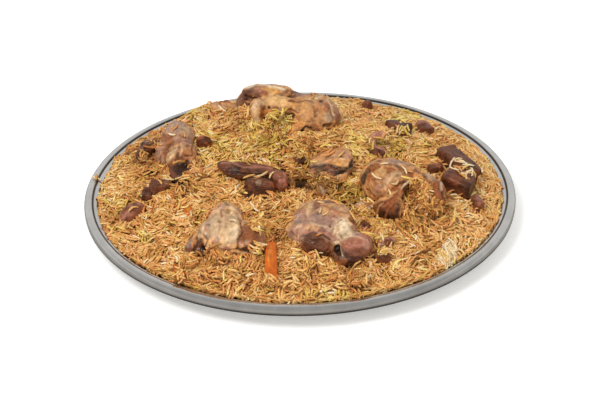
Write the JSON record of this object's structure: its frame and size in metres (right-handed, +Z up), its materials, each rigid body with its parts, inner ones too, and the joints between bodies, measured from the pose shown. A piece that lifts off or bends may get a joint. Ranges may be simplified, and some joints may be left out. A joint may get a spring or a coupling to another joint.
{
  "type": "plate of meat kabuli pulao",
  "caption": "Round steel tray with a rolled rim, heaped with spiced long rice under joints and cubes of lamb and strips of carrot.",
  "frame": {"origin": "centre of the tray's flat underside, at the bottom of the object", "axes": "+Z up out of the tray; -Y towards the side that the diner sees first; +X to that diner's right"},
  "size_m": [0.45, 0.45, 0.112],
  "materials": {
    "steel": "satin pressed steel, lightly brushed round the rim, with a thin film of oil in the crease",
    "rice": "moist long rice grains, amber to pale, some yellow with saffron",
    "roast_meat": "browned, oily skin of lamb, tan to orange-brown",
    "boiled_meat": "boiled lamb under a glossy pinkish skin",
    "fatty_meat": "pale, fatty skin with brown lean meat under it",
    "dark_meat": "dark brown lean meat with a fine grain, moist",
    "brown_meat": "smooth reddish brown meat",
    "gristle": "grey-brown, half clear knob of gristle",
    "carrot": "cooked carrot, bright orange and moist"
  },
  "bodies": {
    "root": {"tray": "steel", "rice": "rice", "top_joint": "roast_meat", "flank_slab": "roast_meat", "gristle_knob": "gristle", "left_shank": "boiled_meat", "left_fibrous_piece": "dark_meat", "left_dark_chunk": "dark_meat", "left_dark_sliver": "dark_meat", "left_liver_piece": "brown_meat", "left_dark_cube": "dark_meat", "centre_fillet": "dark_meat", "centre_block": "dark_meat", "centre_pink_piece": "boiled_meat", "centre_dark_bit": "dark_meat", "front_left_joint": "fatty_meat", "front_centre_joint": "boiled_meat", "front_rear_lump": "fatty_meat", "front_dark_bit": "dark_meat", "right_joint": "roast_meat", "right_rear_block": "dark_meat", "right_front_block": "dark_meat", "right_meat_wedge": "dark_meat", "right_small_piece": "brown_meat", "back_cube_inner": "dark_meat", "back_cube_middle": "dark_meat", "back_cube_outer": "dark_meat", "back_scroll": "boiled_meat", "back_dark_bit": "dark_meat", "back_left_lump": "roast_meat", "back_right_crumb": "brown_meat", "front_right_shred": "boiled_meat", "front_right_bit": "brown_meat", "front_low_shred": "boiled_meat", "carrot_front": "carrot", "carrot_left": "carrot", "carrot_left_curl": "carrot", "carrot_front_left": "carrot"}
  },
  "joints": []
}
